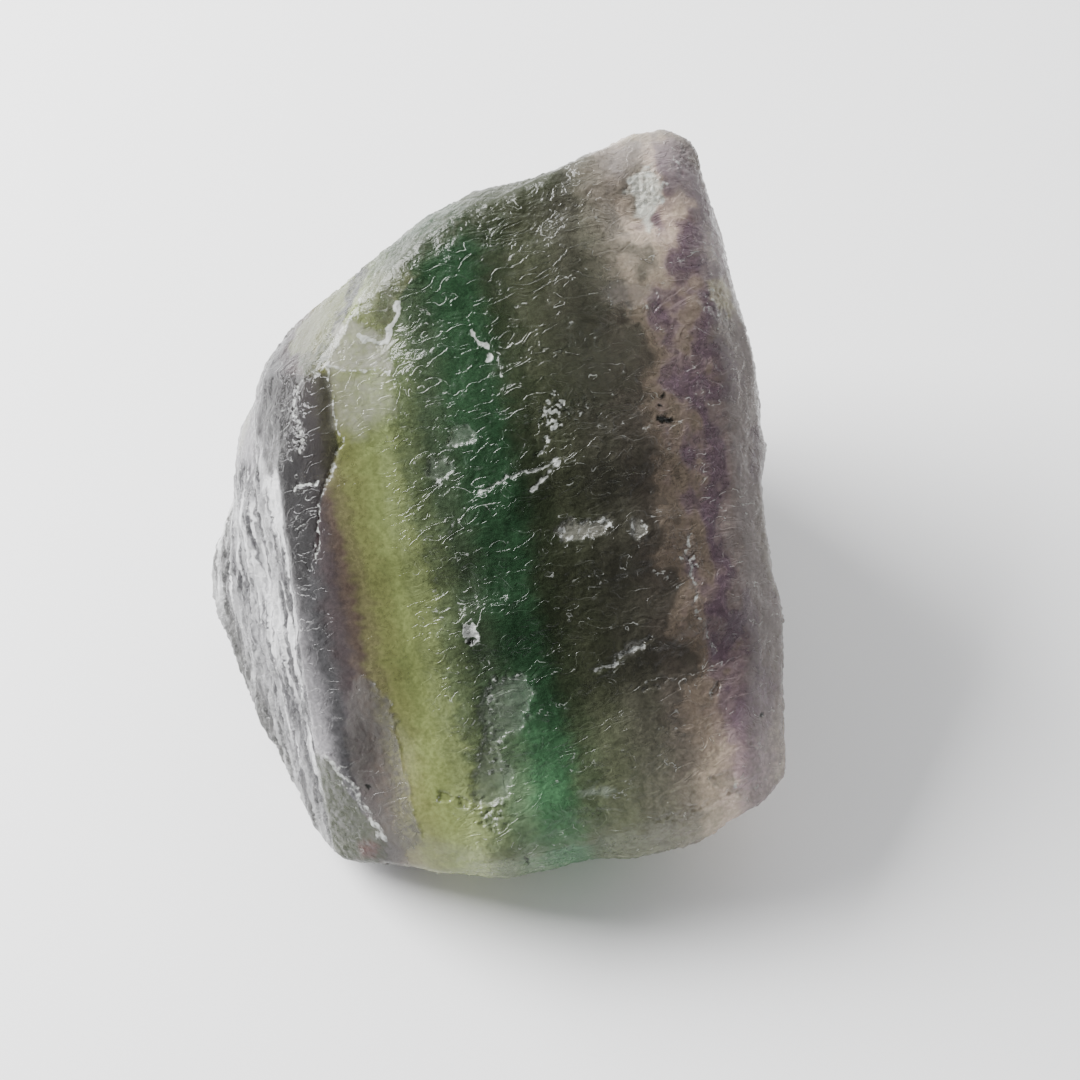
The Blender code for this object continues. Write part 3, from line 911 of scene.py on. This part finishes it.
    def measure_thickness(self, mesh: bpy.types.Mesh, points: np.ndarray) -> None:
        """Finds how thin the crystal is behind each point, straight in, down and away.

        Args:
            mesh: The finished mesh.
            points: Its points.
        """
        triangles = mesh.polygons
        tree = BVHTree.FromPolygons(points.tolist(), [tuple(one.vertices) for one in triangles])
        normals = self.normals(mesh)
        away = Vector(-self.face.axes()[2])
        down = Vector((0, 0, -1))
        depth = np.empty(len(points))
        start = points - normals * (0.3 * MM)
        for index, (place, inward) in enumerate(zip(start.tolist(), (-normals).tolist())):
            inward = Vector(inward)
            ways = [inward] + [way for way in (away, down) if way.dot(inward) > 0.35]
            found = [tree.ray_cast(place, way)[3] for way in ways]
            depth[index] = min((length for length in found if length), default=0.0)
        LOG.info("thickness: %s mm", np.percentile(depth / MM, (5, 25, 50, 75, 95)).round(1))
        # The material paints a paler glow where the crystal is thin.
        self.masks["thin"] = np.exp(-depth / self.thin_depth)


class NodeBench:
    """Places and joins the nodes of one material or group."""

    def __init__(self, tree: bpy.types.NodeTree) -> None:
        """Takes the node tree to work on."""
        self.tree = tree

    def add(self, kind: str, *sources: object, **settings: object) -> bpy.types.Node:
        """Places one node.

        Args:
            kind: Blender's name for the node's type.
            *sources: What feeds its inputs in turn: an output socket, a value or None.
            **settings: Properties to set on the node first.

        Returns:
            The node.
        """
        node = self.tree.nodes.new(kind)
        for name, value in settings.items():
            setattr(node, name, value)
        for socket, source in zip(node.inputs, sources):
            self.feed(socket, source)
        return node

    def feed(self, socket: bpy.types.NodeSocket, source: object) -> None:
        """Joins an output to a socket, or sets the socket's value.

        Args:
            socket: The input to feed.
            source: An output socket, a value or None.
        """
        if isinstance(source, bpy.types.NodeSocket):
            self.tree.links.new(source, socket)
        elif source is not None:
            socket.default_value = source

    def math(self, operation: str, *sources: object) -> bpy.types.NodeSocket:
        """The output of one Math node."""
        return self.add("ShaderNodeMath", *sources, operation=operation, use_clamp=False).outputs[0]

    def clamped(self, operation: str, *sources: object) -> bpy.types.NodeSocket:
        """The output of one Math node, kept between 0 and 1."""
        return self.add("ShaderNodeMath", *sources, operation=operation, use_clamp=True).outputs[0]

    def plus(self, first: object, second: object) -> bpy.types.NodeSocket:
        """The sum of two values."""
        return self.math("ADD", first, second)

    def minus(self, first: object, second: object) -> bpy.types.NodeSocket:
        """The first value less the second."""
        return self.math("SUBTRACT", first, second)

    def times(self, first: object, second: object) -> bpy.types.NodeSocket:
        """The product of two values."""
        return self.math("MULTIPLY", first, second)

    def dot(self, vector: bpy.types.NodeSocket, axis: tuple[float, ...]) -> bpy.types.NodeSocket:
        """How far a vector reaches along an axis.

        Args:
            vector: The vector.
            axis: The axis.

        Returns:
            The node's output.
        """
        node = self.add("ShaderNodeVectorMath", vector, operation="DOT_PRODUCT")
        node.inputs[1].default_value = axis
        return node.outputs["Value"]

    def vector(self, x: object, y: object, z: object) -> bpy.types.NodeSocket:
        """Three values joined into one vector."""
        return self.add("ShaderNodeCombineXYZ", x, y, z).outputs[0]

    def noise(
        self, place: bpy.types.NodeSocket, scale: float, detail: float, warp: float = 0.0
    ) -> bpy.types.NodeSocket:
        """Noise between 0 and 1, with its sizes set in the place that is fed to it.

        Args:
            place: The vector to take the noise at.
            scale: How many lumps fit in one unit of it.
            detail: How many finer sizes are added to the first.
            warp: How far the noise is bent by itself.

        Returns:
            The node's output.
        """
        node = self.add("ShaderNodeTexNoise", place)
        node.inputs["Scale"].default_value = scale
        node.inputs["Detail"].default_value = detail
        node.inputs["Distortion"].default_value = warp
        return node.outputs[0]

    def spread(
        self, value: object, low: float, high: float, range_to: tuple[float, float]
    ) -> bpy.types.NodeSocket:
        """A straight line from the first end of a range, at low, to its other end, at high."""
        return self.add("ShaderNodeMapRange", value, low, high, *range_to).outputs[0]

    def between(self, value: object, low: float, high: float) -> bpy.types.NodeSocket:
        """A smooth curve from 0 at low to 1 at high.

        Args:
            value: The value to place on the curve.
            low: Where the curve leaves 0.
            high: Where it reaches 1.

        Returns:
            The node's output.
        """
        node = self.add("ShaderNodeMapRange", value, low, high)
        node.interpolation_type = "SMOOTHSTEP"
        return node.outputs[0]

    def blend(self, share: object, first: object, second: object) -> bpy.types.NodeSocket:
        """A colour part of the way from the first to the second.

        Args:
            share: 0 for the first colour and 1 for the second.
            first: The first colour.
            second: The second colour.

        Returns:
            The node's output.
        """
        node = self.add("ShaderNodeMix", data_type="RGBA")
        for index, source in zip((0, 6, 7), (share, first, second)):
            self.feed(node.inputs[index], source)
        return node.outputs[2]

    def attribute(self, name: str) -> bpy.types.NodeSocket:
        """One of the masks kept on the mesh."""
        return self.add("ShaderNodeAttribute", attribute_name=name).outputs["Fac"]


def new_group(name: str, inputs: dict[str, str], outputs: dict[str, str]) -> tuple[
    bpy.types.NodeTree, NodeBench, bpy.types.Node, bpy.types.Node
]:
    """Makes an empty node group with its sockets.

    Args:
        name: The group's name.
        inputs: The kind of each named input.
        outputs: The kind of each named output.

    Returns:
        The group, a bench to fill it with, and its input and output nodes.
    """
    group = bpy.data.node_groups.new(name, "ShaderNodeTree")
    for label, kind in inputs.items():
        group.interface.new_socket(label, in_out="INPUT", socket_type=kind)
    for label, kind in outputs.items():
        group.interface.new_socket(label, in_out="OUTPUT", socket_type=kind)
    bench = NodeBench(group)
    return group, bench, bench.add("NodeGroupInput"), bench.add("NodeGroupOutput")


FLOAT, COLOR = "NodeSocketFloat", "NodeSocketColor"


@dataclass(frozen=True)
class Band:
    """One band of the crystal: where it is strongest, in millimetres across, and its colour."""

    place: float
    colour: tuple[float, float, float]


@dataclass(frozen=True)
class BandedColour:
    """The colours that the crystal grew in, sheet upon sheet, from left to right, with painted glow."""

    face: FaceFrame
    first: float = -34.0
    last: float = 28.0
    usual_lean: float = 0.165
    middle_lean: float = 0.1875
    fan: float = 0.0045
    least_lean: float = 0.10
    most_lean: float = 0.21
    deep_lean: float = 0.06
    wander: float = 3.0
    ripple: float = 2.4
    patch: float = 19.0
    patch_middle: float = 0.49
    ripple_squeeze: float = 2.2
    patch_stretch: float = 0.7
    streak_squeeze: float = 1.1
    streak_stretch: float = 0.05
    streak_range: tuple[float, float] = (0.86, 1.14)
    speckle_range: tuple[float, float] = (0.82, 1.18)
    foot_start: float = 11.0
    foot_full: float = 31.0
    foot_glow: float = 0.8
    foot_glow_dark: float = 2.9
    head_start: float = 20.0
    head_full: float = 31.0
    head_glow: float = 2.6
    head_glow_lost: float = 2.2
    bands: tuple[Band, ...] = (
        Band(-33.0, (0.30, 0.29, 0.31)),
        Band(-28.0, (0.22, 0.21, 0.22)),
        Band(-25.0, (0.048, 0.046, 0.048)),
        Band(-22.6, (0.050, 0.036, 0.037)),
        Band(-21.0, (0.082, 0.060, 0.047)),
        Band(-19.6, (0.150, 0.142, 0.068)),
        Band(-17.6, (0.175, 0.190, 0.070)),
        Band(-15.4, (0.205, 0.242, 0.086)),
        Band(-13.4, (0.200, 0.238, 0.096)),
        Band(-11.2, (0.096, 0.124, 0.060)),
        Band(-8.4, (0.045, 0.068, 0.037)),
        Band(-5.0, (0.024, 0.057, 0.027)),
        Band(-2.4, (0.022, 0.053, 0.025)),
        Band(0.4, (0.030, 0.039, 0.021)),
        Band(3.0, (0.050, 0.055, 0.033)),
        Band(8.0, (0.060, 0.058, 0.043)),
        Band(11.5, (0.080, 0.069, 0.056)),
        Band(14.4, (0.180, 0.143, 0.110)),
        Band(16.0, (0.205, 0.158, 0.131)),
        Band(17.2, (0.176, 0.129, 0.133)),
        Band(18.8, (0.150, 0.103, 0.125)),
        Band(20.4, (0.162, 0.117, 0.134)),
        Band(22.0, (0.225, 0.176, 0.166)),
        Band(24.0, (0.270, 0.225, 0.210)),
    )

    def group(self) -> bpy.types.NodeTree:
        """Builds the group that gives the band's colour at each point, with painted glow.

        Returns:
            The group, with outputs Color, Across, Up and Deep.
        """
        group, bench, _, ends = new_group(
            "fluorite_bands", {}, {"Color": COLOR, "Across": FLOAT, "Up": FLOAT, "Deep": FLOAT}
        )
        place = bench.add("ShaderNodeTexCoord").outputs["Object"]
        shifted = bench.add("ShaderNodeVectorMath", place, self.face.origin, operation="SUBTRACT")
        in_mm = [tuple(axis / MM) for axis in self.face.axes()]
        across, up, deep = (bench.dot(shifted.outputs[0], axis) for axis in in_mm)
        sheet = self.sheet(bench, across, up, deep)
        share = bench.add("ShaderNodeMapRange", sheet, self.first, self.last).outputs[0]
        ramp = bench.add("ShaderNodeValToRGB", share)
        self.fill(ramp.color_ramp)
        streaked = bench.add("ShaderNodeVectorMath", ramp.outputs[0], operation="SCALE")
        bench.feed(streaked.inputs["Scale"], self.glow(bench, sheet, across, up, deep))
        for socket, source in zip(ends.inputs, (streaked.outputs[0], across, up, deep)):
            bench.feed(socket, source)
        return group

    def sheet(
        self,
        bench: NodeBench,
        across: bpy.types.NodeSocket,
        up: bpy.types.NodeSocket,
        deep: bpy.types.NodeSocket,
    ) -> bpy.types.NodeSocket:
        """Which of the crystal's sheets each point lies in.

        Args:
            bench: The group's bench.
            across: How far across the face the point is.
            up: How far up it is.
            deep: How far out of the face it is.

        Returns:
            The sheet's place across the face at its middle, in millimetres.
        """
        roughly = bench.plus(across, bench.times(up, self.usual_lean))
        fan = bench.minus(self.middle_lean, bench.times(roughly, self.fan))
        lean = bench.math("MINIMUM", bench.math("MAXIMUM", fan, self.least_lean), self.most_lean)
        sheet = bench.plus(across, bench.times(up, lean))
        sheet = bench.plus(sheet, bench.times(deep, self.deep_lean))
        wide = bench.noise(bench.vector(across, up, deep), scale=0.075, detail=1.0)
        squeezed = bench.vector(across, bench.times(up, self.ripple_squeeze), deep)
        fine = bench.noise(squeezed, scale=0.42, detail=2.0)
        sheet = bench.plus(sheet, bench.times(bench.minus(wide, 0.5), self.wander))
        sheet = bench.plus(sheet, bench.times(bench.minus(fine, 0.5), self.ripple))
        mottled = bench.times(bench.between(sheet, 9.0, 14.0), bench.between(up, -24.0, -8.0))
        drawn = bench.vector(across, bench.times(up, self.patch_stretch), deep)
        patch = bench.noise(drawn, scale=0.28, detail=2.0)
        patch = bench.times(bench.minus(patch, self.patch_middle), self.patch)
        return bench.plus(sheet, bench.times(patch, mottled))

    def glow(
        self,
        bench: NodeBench,
        sheet: bpy.types.NodeSocket,
        across: bpy.types.NodeSocket,
        up: bpy.types.NodeSocket,
        deep: bpy.types.NodeSocket,
    ) -> bpy.types.NodeSocket:
        """How much paler or darker each point is: its streaks, its speckle and painted glow.

        Args:
            bench: The group's bench.
            sheet: The sheet that the point lies in.
            across: How far across the face the point is.
            up: How far up it is.
            deep: How far out of the face it is.

        Returns:
            What to multiply the band's colour by.
        """
        thin = bench.times(sheet, self.streak_squeeze)
        streaky = bench.vector(thin, bench.times(up, self.streak_stretch), deep)
        streaky = bench.noise(streaky, scale=0.9, detail=1.0)
        shade = bench.spread(streaky, 0.3, 0.7, self.streak_range)
        speckle = bench.noise(bench.vector(across, up, deep), scale=2.6, detail=2.0)
        speckle = bench.spread(speckle, 0.32, 0.68, self.speckle_range)
        # Painted glow: brighter towards the foot, most in the green bands, as light shining through the
        # foot.
        foot = bench.between(bench.times(up, -1.0), self.foot_start, self.foot_full)
        foot_glow = bench.times(bench.between(sheet, -11.0, -7.0), self.foot_glow_dark)
        foot = bench.plus(1.0, bench.times(foot, bench.plus(self.foot_glow, foot_glow)))
        # Painted glow: the middle bands brighter towards the top, less so in the tan band.
        head = bench.between(up, self.head_start, self.head_full)
        head = bench.times(head, bench.between(sheet, 7.0, 12.0))
        tan = bench.times(bench.between(sheet, 14.5, 18.0), self.head_glow_lost)
        head = bench.plus(1.0, bench.times(head, bench.minus(self.head_glow, tan)))
        return bench.times(bench.times(shade, speckle), bench.times(foot, head))

    def fill(self, ramp: bpy.types.ColorRamp) -> None:
        """Places the bands on a colour ramp.

        Args:
            ramp: The ramp, with the two stops that it comes with.
        """
        stops = ramp.elements
        for index, band in enumerate(self.bands):
            share = (band.place - self.first) / (self.last - self.first)
            stop = stops[index] if index < 2 else stops.new(share)
            stop.position = share
            stop.color = (*band.colour, 1.0)
        ramp.interpolation = "EASE"


@dataclass(frozen=True)
class FractureGrain:
    """White wisp lines (partly painted glints), grain and streaks of crystal split in ragged steps."""

    stretch: float = 0.6
    deep_stretch: float = 0.5
    step_rate: float = 0.3
    line_height: float = 3.6
    line_warp: float = 1.4
    streak_stretch: float = 0.1
    streak_wave: float = 1.6
    broad_share: float = 0.65
    step_height: float = 0.9
    grain_height: float = 1.5

    def group(self) -> bpy.types.NodeTree:
        """Builds the group of wisp lines (partly painted glints), the grain between them and streaks.

        Returns:
            The group, with inputs Across, Up and Deep, and outputs WispGlints, Grain, Streaks and Height.
        """
        group, bench, starts, ends = new_group(
            "fracture_grain",
            {"Across": FLOAT, "Up": FLOAT, "Deep": FLOAT},
            {"WispGlints": FLOAT, "Grain": FLOAT, "Streaks": FLOAT, "Height": FLOAT},
        )
        across, up, deep = starts.outputs[0], starts.outputs[1], starts.outputs[2]
        cos, sin = math.cos(HACKLE_TURN), math.sin(HACKLE_TURN)
        along = bench.plus(bench.times(across, cos), bench.times(up, sin))
        over = bench.minus(bench.times(up, cos), bench.times(across, sin))
        stretched = bench.vector(
            bench.times(along, self.stretch), over, bench.times(deep, self.deep_stretch)
        )
        lines = bench.noise(stretched, scale=0.55, detail=2.0, warp=self.line_warp)
        steps = bench.plus(bench.times(over, self.step_rate), bench.times(lines, self.line_height))
        tread = bench.math("FRACT", steps)
        riser = bench.between(tread, 0.84, 1.0)
        plain = bench.vector(across, up, deep)
        grain = bench.noise(plain, scale=1.6, detail=2.0)
        patches = bench.noise(stretched, scale=0.5, detail=1.0)
        patches = bench.between(patches, 0.51, 0.64)
        # The wisp lines along the step edges: partly white fracture, partly painted glints.
        edge = bench.times(bench.between(tread, 0.88, 0.95), bench.between(grain, 0.46, 0.58))
        wisp_glints = bench.times(edge, patches)
        side = bench.plus(bench.dot(plain, STREAK_ACROSS), bench.times(lines, self.streak_wave))
        combed = bench.vector(side, bench.times(up, self.streak_stretch), bench.times(across, 0.25))
        broad = bench.between(bench.noise(combed, scale=0.32, detail=1.0), 0.42, 0.56)
        fine = bench.between(bench.noise(combed, scale=0.9, detail=2.0), 0.42, 0.58)
        broad = bench.plus(1.0 - self.broad_share, bench.times(broad, self.broad_share))
        streaks = bench.times(broad, fine)
        step = bench.times(bench.minus(tread, riser), self.step_height)
        height = bench.plus(step, bench.times(grain, self.grain_height))
        for socket, source in zip(ends.inputs, (wisp_glints, grain, streaks, height)):
            bench.feed(socket, source)
        return group


@dataclass(frozen=True)
class CrystalFinish:
    """Banded, see-through where thin, whitened where bruised, with painted glints, glow and shade."""

    face: FaceFrame
    refraction: float = 1.434
    shine: float = 0.2
    transmission: float = 0.5
    absorption_colour: tuple[float, float, float] = (0.62, 0.66, 0.60)
    absorption_density: float = 45.0
    bruise_and_glint_white: tuple[float, float, float] = (0.74, 0.76, 0.72)
    thin_glow_tint: tuple[float, float, float] = (0.46, 0.47, 0.33)
    rim_glow_tint: tuple[float, float, float] = (0.215, 0.182, 0.166)
    streak_dark: tuple[float, float, float] = (0.055, 0.053, 0.057)
    streak_pale_and_glint: tuple[float, float, float] = (0.93, 0.93, 0.94)
    smoky_tint: tuple[float, float, float] = (0.022, 0.020, 0.020)
    side_pale: tuple[float, float, float] = (0.46, 0.46, 0.45)
    speck_and_pit_shade_dark: tuple[float, float, float] = (0.012, 0.012, 0.010)
    polish: float = 0.06
    haze: float = 0.22
    powder: float = 0.35
    satin: float = 0.12
    bump_strength: float = 0.45
    bump_depth: float = 0.14 * MM
    least_bump: float = 0.15
    veiled_bump: float = 0.8
    thin_glow_share: float = 0.45
    rim_glow_share: float = 0.9
    smoky_share: float = 0.85
    side_share: float = 0.26
    striated_share: float = 0.85
    bruise_share: float = 0.8
    ridge_highlight_share: float = 0.2
    wisp_glint_share: float = 0.45

    def material(self) -> bpy.types.Material:
        """Builds the material.

        Returns:
            The material.
        """
        made = bpy.data.materials.new("banded_fluorite")
        made.use_nodes = True
        bench = NodeBench(made.node_tree)
        shader = made.node_tree.nodes["Principled BSDF"]
        bands = bench.add("ShaderNodeGroup", node_tree=BandedColour(self.face).group())
        grain = bench.add("ShaderNodeGroup", *bands.outputs[1:4], node_tree=FractureGrain().group())
        rough = bench.minus(1.0, bench.attribute("glassy"))
        white_and_glints = self.white_and_glints(bench, grain, rough)
        colour = self.tinted(bench, bands.outputs[0], grain)
        # Whitens the bruises and cracks, the crystal's own white, and adds painted glints on the hackles.
        colour = bench.blend(white_and_glints, colour, (*self.bruise_and_glint_white, 1.0))
        # Darkens the dark specks, the crystal's own, and the pit's lower half as painted shade.
        colour = bench.blend(bench.attribute("dark"), colour, (*self.speck_and_pit_shade_dark, 1.0))
        bench.feed(shader.inputs["Base Color"], colour)
        veil = bench.attribute("veil")
        haze = bench.times(bench.times(grain.outputs["Grain"], rough), self.haze)
        powder = bench.times(white_and_glints, self.powder)
        satin = bench.times(veil, self.satin)
        roughness = bench.plus(bench.plus(self.polish, haze), bench.plus(powder, satin))
        bench.feed(shader.inputs["Roughness"], roughness)
        bump = bench.add("ShaderNodeBump")
        bump.inputs["Strength"].default_value = self.bump_strength
        bump.inputs["Distance"].default_value = self.bump_depth
        worn = bench.math("MAXIMUM", rough, bench.times(veil, self.veiled_bump))
        worn = bench.plus(self.least_bump, bench.times(worn, 1.0 - self.least_bump))
        bench.feed(bump.inputs["Height"], bench.times(grain.outputs["Height"], worn))
        bench.feed(shader.inputs["Normal"], bump.outputs[0])
        self.clear(shader, bench)
        return made

    def tinted(
        self, bench: NodeBench, banded: bpy.types.NodeSocket, grain: bpy.types.Node
    ) -> bpy.types.NodeSocket:
        """The bands' colour, tinted where veiled or streaked, with painted glow where thin or bevelled.

        Args:
            bench: The material's bench.
            banded: The bands' colour.
            grain: The node of the fracture grain.

        Returns:
            The tinted colour.
        """
        mottle = bench.between(grain.outputs["Grain"], 0.3, 0.7)
        # Painted glow: paler where the crystal is thin, as light shining through it.
        thin = bench.between(bench.attribute("thin"), 0.12, 0.85)
        thin = bench.clamped("MULTIPLY", thin, self.thin_glow_share)
        colour = bench.blend(thin, banded, (*self.thin_glow_tint, 1.0))
        # Painted glow along the right bevel, as light shining through its thin edge.
        rim = bench.times(bench.plus(0.35, bench.times(mottle, 0.5)), self.rim_glow_share)
        rim = bench.clamped("MULTIPLY", bench.attribute("rim"), rim)
        colour = bench.blend(rim, colour, (*self.rim_glow_tint, 1.0))
        smoky = bench.times(bench.attribute("smoky"), self.smoky_share)
        colour = bench.blend(smoky, colour, (*self.smoky_tint, 1.0))
        veil_colour = bench.add("ShaderNodeAttribute", attribute_name="veil_colour")
        veil = bench.attribute("veil")
        mottled_veil = bench.times(veil, bench.plus(0.7, bench.times(mottle, 0.5)))
        # The veils' colours, among them painted shade in the corner gap and the recess's heart.
        colour = bench.blend(mottled_veil, colour, veil_colour.outputs["Color"])
        streaks = grain.outputs["Streaks"]
        side = bench.clamped("MULTIPLY", bench.minus(bench.attribute("side"), veil), streaks)
        colour = bench.blend(bench.times(side, self.side_share), colour, (*self.side_pale, 1.0))
        # The striated side's pale streaks: frosted white crystal, partly painted glints.
        combed = bench.blend(streaks, (*self.streak_dark, 1.0), (*self.streak_pale_and_glint, 1.0))
        striated = bench.times(bench.attribute("striated"), self.striated_share)
        return bench.blend(striated, colour, combed)

    def white_and_glints(
        self, bench: NodeBench, grain: bpy.types.Node, rough: bpy.types.NodeSocket
    ) -> bpy.types.NodeSocket:
        """How white each point is from bruises and cracks, and from painted glints on the hackles.

        Args:
            bench: The material's bench.
            grain: The node of the fracture grain.
            rough: 1 where the surface is hackly.

        Returns:
            The share of white.
        """
        uneven = bench.times(bench.minus(grain.outputs["Grain"], 0.5), 1.6)
        flecked = bench.plus(bench.attribute("bruised"), uneven)
        bruised = bench.times(bench.between(flecked, 0.45, 0.72), self.bruise_share)
        broken = bench.plus(bench.attribute("vein"), bench.times(uneven, 0.6))
        bruised = bench.math("MAXIMUM", bruised, bench.between(broken, 0.4, 0.75))
        # Painted highlights along the ridge edges, and painted glints on the wisp lines.
        ridge_highlights = bench.times(bench.attribute("ridge"), rough)
        ridge_highlights = bench.times(ridge_highlights, bench.between(grain.outputs["Grain"], 0.4, 0.62))
        wisp_glints = bench.times(grain.outputs["WispGlints"], rough)
        lit = bench.times(ridge_highlights, self.ridge_highlight_share)
        lit = bench.math("MAXIMUM", lit, bench.times(wisp_glints, self.wisp_glint_share))
        return bench.clamped("MAXIMUM", bruised, lit)

    def clear(self, shader: bpy.types.Node, bench: NodeBench) -> None:
        """Makes the crystal see-through, and darker the deeper that light goes in.

        Args:
            shader: The material's main shader.
            bench: The material's bench.
        """
        shader.inputs["IOR"].default_value = self.refraction
        shader.inputs["Transmission Weight"].default_value = self.transmission
        shader.inputs["Specular IOR Level"].default_value = self.shine
        shader.inputs["Metallic"].default_value = 0.0
        absorb = bench.add("ShaderNodeVolumeAbsorption")
        absorb.inputs["Color"].default_value = (*self.absorption_colour, 1.0)
        absorb.inputs["Density"].default_value = self.absorption_density
        ends = bench.tree.nodes["Material Output"]
        bench.tree.links.new(absorb.outputs[0], ends.inputs["Volume"])


@dataclass
class FluoriteChunk:
    """The chunk itself: one broken piece of banded crystal."""

    node: bpy.types.Object
    face: FaceFrame

    def build(self) -> bpy.types.Object:
        """Builds the chunk's surface and dresses it.

        Returns:
            The finished piece, in place and riding on the chunk's body.
        """
        surface = BrokenSurface(self.face)
        mesh = surface.netted(self.node)
        corners = np.array([self.node.matrix_world @ Vector(corner) for corner in self.node.bound_box])
        surface.work(mesh, corners.min(axis=0), corners.max(axis=0))
        mesh.name = "banded_chunk"
        mesh.materials.clear()
        mesh.materials.append(CrystalFinish(self.face).material())
        for polygon in mesh.polygons:
            polygon.use_smooth = True
        piece = bpy.data.objects.new("banded_chunk", mesh)
        bpy.context.scene.collection.objects.link(piece)
        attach(piece, "root")
        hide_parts("fluorite_chunk")
        return piece


@dataclass(frozen=True)
class TableTop:
    """The plain pale surface that the chunk rests on."""

    reach: float = 1.6
    colour: tuple[float, float, float] = (0.88, 0.88, 0.88)
    roughness: float = 0.45

    def build(self) -> bpy.types.Object:
        """Builds the table top.

        Returns:
            The table top.
        """
        bm = bmesh.new()
        bmesh.ops.create_grid(bm, x_segments=1, y_segments=1, size=self.reach)
        mesh = bpy.data.meshes.new("table_top")
        bm.to_mesh(mesh)
        bm.free()
        top = bpy.data.objects.new("table_top", mesh)
        bpy.context.scene.collection.objects.link(top)
        paint = bpy.data.materials.new("pale_table")
        paint.use_nodes = True
        shader = paint.node_tree.nodes["Principled BSDF"]
        shader.inputs["Base Color"].default_value = (*self.colour, 1.0)
        shader.inputs["Roughness"].default_value = self.roughness
        mesh.materials.append(paint)
        return top


@dataclass(frozen=True)
class StudioLight:
    """Soft light from a window on the left and behind, in a pale room that is dark in front."""

    face: FaceFrame
    aim: tuple[float, float, float] = (0.0, 0.0, 0.02)
    window_way: tuple[float, float, float] = (-0.76, 0.38, 0.53)
    window_gap: float = 0.6
    window_size: float = 0.46
    window_power: float = 17.5
    room_colour: tuple[float, float, float] = (0.97, 0.98, 1.0)
    room_strength: float = 2.1
    dark_strength: float = 0.08
    dark_from: float = 0.3
    dark_full: float = 0.85

    def build(self) -> None:
        """Places the window's light and sets the room's."""
        data = bpy.data.lights.new("window", "AREA")
        data.shape = "SQUARE"
        data.size = self.window_size
        data.energy = self.window_power
        window = bpy.data.objects.new("window", data)
        way = Vector(self.window_way).normalized()
        window.location = Vector(self.aim) + way * self.window_gap
        window.rotation_mode = "QUATERNION"
        window.rotation_quaternion = way.to_track_quat("Z", "Y")
        bpy.context.scene.collection.objects.link(window)
        room = bpy.data.worlds.new("room")
        room.use_nodes = True
        bench = NodeBench(room.node_tree)
        background = room.node_tree.nodes["Background"]
        background.inputs["Color"].default_value = (*self.room_colour, 1.0)
        way = bench.add("ShaderNodeTexCoord").outputs["Generated"]
        toward = bench.dot(way, tuple(self.face.axes()[2]))
        shade = bench.add("ShaderNodeMapRange", toward, self.dark_from, self.dark_full)
        shade.interpolation_type = "SMOOTHSTEP"
        shade.inputs["To Min"].default_value = self.room_strength
        shade.inputs["To Max"].default_value = self.dark_strength
        bench.feed(background.inputs["Strength"], shade.outputs[0])
        bpy.context.scene.world = room


@dataclass(frozen=True)
class TableCamera:
    """The camera, square on to the broad face from above and in front."""

    face: FaceFrame
    gap: float = 210 * MM
    lens: float = 70.0
    sensor: float = 36.0
    clip_start: float = 0.01
    clip_end: float = 20.0

    def build(self) -> bpy.types.Object:
        """Places the camera.

        Returns:
            The camera.
        """
        data = bpy.data.cameras.new("camera")
        data.lens = self.lens
        data.sensor_width = self.sensor
        data.clip_start = self.clip_start
        data.clip_end = self.clip_end
        camera = bpy.data.objects.new("camera", data)
        frame = self.face.matrix()
        camera.matrix_world = frame @ Matrix.Translation((0, 0, self.gap))
        bpy.context.scene.collection.objects.link(camera)
        bpy.context.scene.camera = camera
        return camera


def main() -> None:
    """Builds the chunk, the table top, the light and the camera, in that order."""
    logging.basicConfig(level=logging.INFO, format="%(message)s")
    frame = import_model()
    face = FaceFrame()
    chunk = FluoriteChunk(frame["nodes"]["fluorite_chunk"], face).build()
    LOG.info("%s: %d faces", chunk.name, len(chunk.data.polygons))
    top = TableTop().build()
    LOG.info("%s: built", top.name)
    StudioLight(face).build()
    camera = TableCamera(face).build()
    LOG.info("%s: placed", camera.name)


if __name__ == "__main__":
    main()
